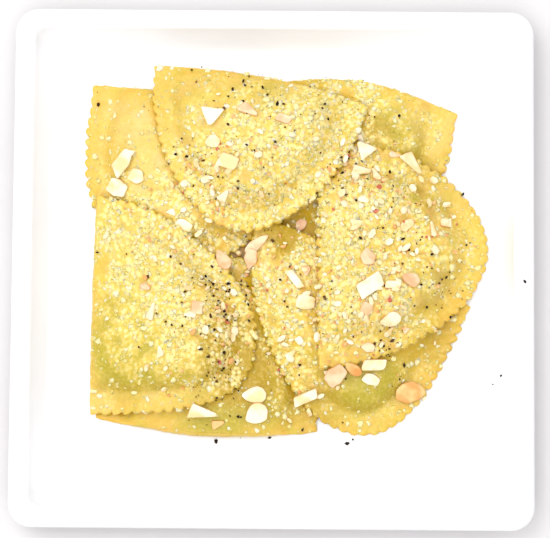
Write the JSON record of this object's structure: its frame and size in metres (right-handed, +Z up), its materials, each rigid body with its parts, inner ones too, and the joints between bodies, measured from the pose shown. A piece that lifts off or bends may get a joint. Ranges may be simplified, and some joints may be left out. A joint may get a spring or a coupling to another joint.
{
  "type": "plate of ravioli",
  "caption": "Square white plate with a rounded rim and sunken well, serving an overlapping pile of large half-moon filled pasta topped with almond flakes, grated cheese and pepper.",
  "frame": {"origin": "middle of the plate at the level of its foot ring, which is the bottom centre of the whole", "axes": "+Z up out of the plate, +X to the right and +Y away from the diner, both along the plate's sides"},
  "size_m": [0.2, 0.2, 0.0291],
  "materials": {
    "porcelain": "gloss",
    "pasta": "satin",
    "almond_cream": "matte",
    "almond_pink": "matte",
    "almond_tan": "matte"
  },
  "bodies": {
    "root": {"plate": "porcelain", "ravioli_1_front_left": "pasta", "ravioli_2_back_right": "pasta", "ravioli_3_back_left": "pasta", "ravioli_4_front_right": "pasta", "ravioli_5_left": "pasta", "ravioli_6_right": "pasta", "ravioli_7_back_top": "pasta", "almond_01_back_left": "almond_cream", "almond_02_back_left": "almond_cream", "almond_03_back_left": "almond_cream", "almond_04_back_top": "almond_cream", "almond_05_back_top": "almond_cream", "almond_06_back_top": "almond_pink", "almond_07_right_back": "almond_cream", "almond_08_right_back": "almond_cream", "almond_09_right_back": "almond_cream", "almond_10_right": "almond_pink", "almond_11_centre": "almond_pink", "almond_12_left_edge": "almond_pink", "almond_13_centre": "almond_pink", "almond_14_centre": "almond_cream", "almond_15_centre": "almond_cream", "almond_16_right": "almond_cream", "almond_17_right": "almond_pink", "almond_18_right": "almond_cream", "almond_19_front_right": "almond_cream", "almond_20_front_right": "almond_tan", "almond_21_front_right": "almond_pink", "almond_22_front_right": "almond_cream", "almond_23_front_left": "almond_cream", "almond_24_front_left": "almond_cream", "almond_25_front_left": "almond_cream", "almond_26_front_right": "almond_tan", "almond_27_left": "almond_cream"}
  },
  "joints": []
}
